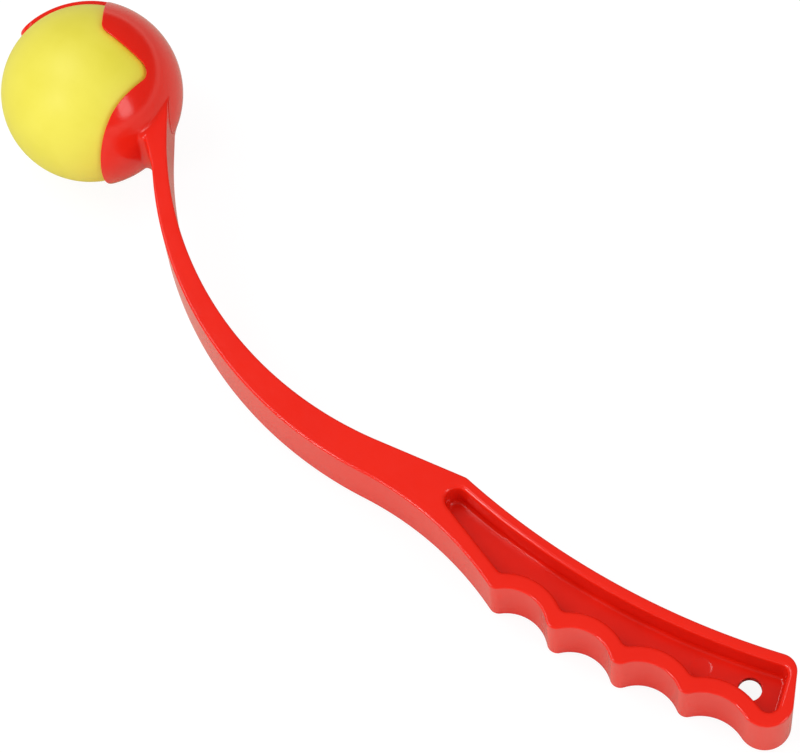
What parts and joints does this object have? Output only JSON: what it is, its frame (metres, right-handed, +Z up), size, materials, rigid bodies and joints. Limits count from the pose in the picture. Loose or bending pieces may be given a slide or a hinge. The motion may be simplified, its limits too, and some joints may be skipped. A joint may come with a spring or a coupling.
{
  "type": "dog ball thrower",
  "caption": "Curved one-piece ball thrower with a finger-grooved grip, and a smooth foam ball held in the snap cup at its tip.",
  "frame": {"origin": "centre of the overall box, at the surface that the thrower lies on", "axes": "+X along the thrower from the ball to the butt of the grip, +Z up, +Y towards the palm side of the grip"},
  "size_m": [0.364, 0.1296, 0.0645],
  "materials": {
    "moulding": "gloss",
    "foam": "matte"
  },
  "bodies": {
    "launcher": {"grip_handle": "moulding", "throwing_arm": "moulding", "ball_cup": "moulding", "retaining_finger": "moulding"},
    "ball": {"ball": "foam"}
  },
  "joints": [
    {"name": "ball_release", "type": "slide", "parent": "launcher", "child": "ball", "axis": [-0.8831, -0.4693, 0], "range_m": [0, 0.08], "deforming": ["retaining_finger"]}
  ]
}
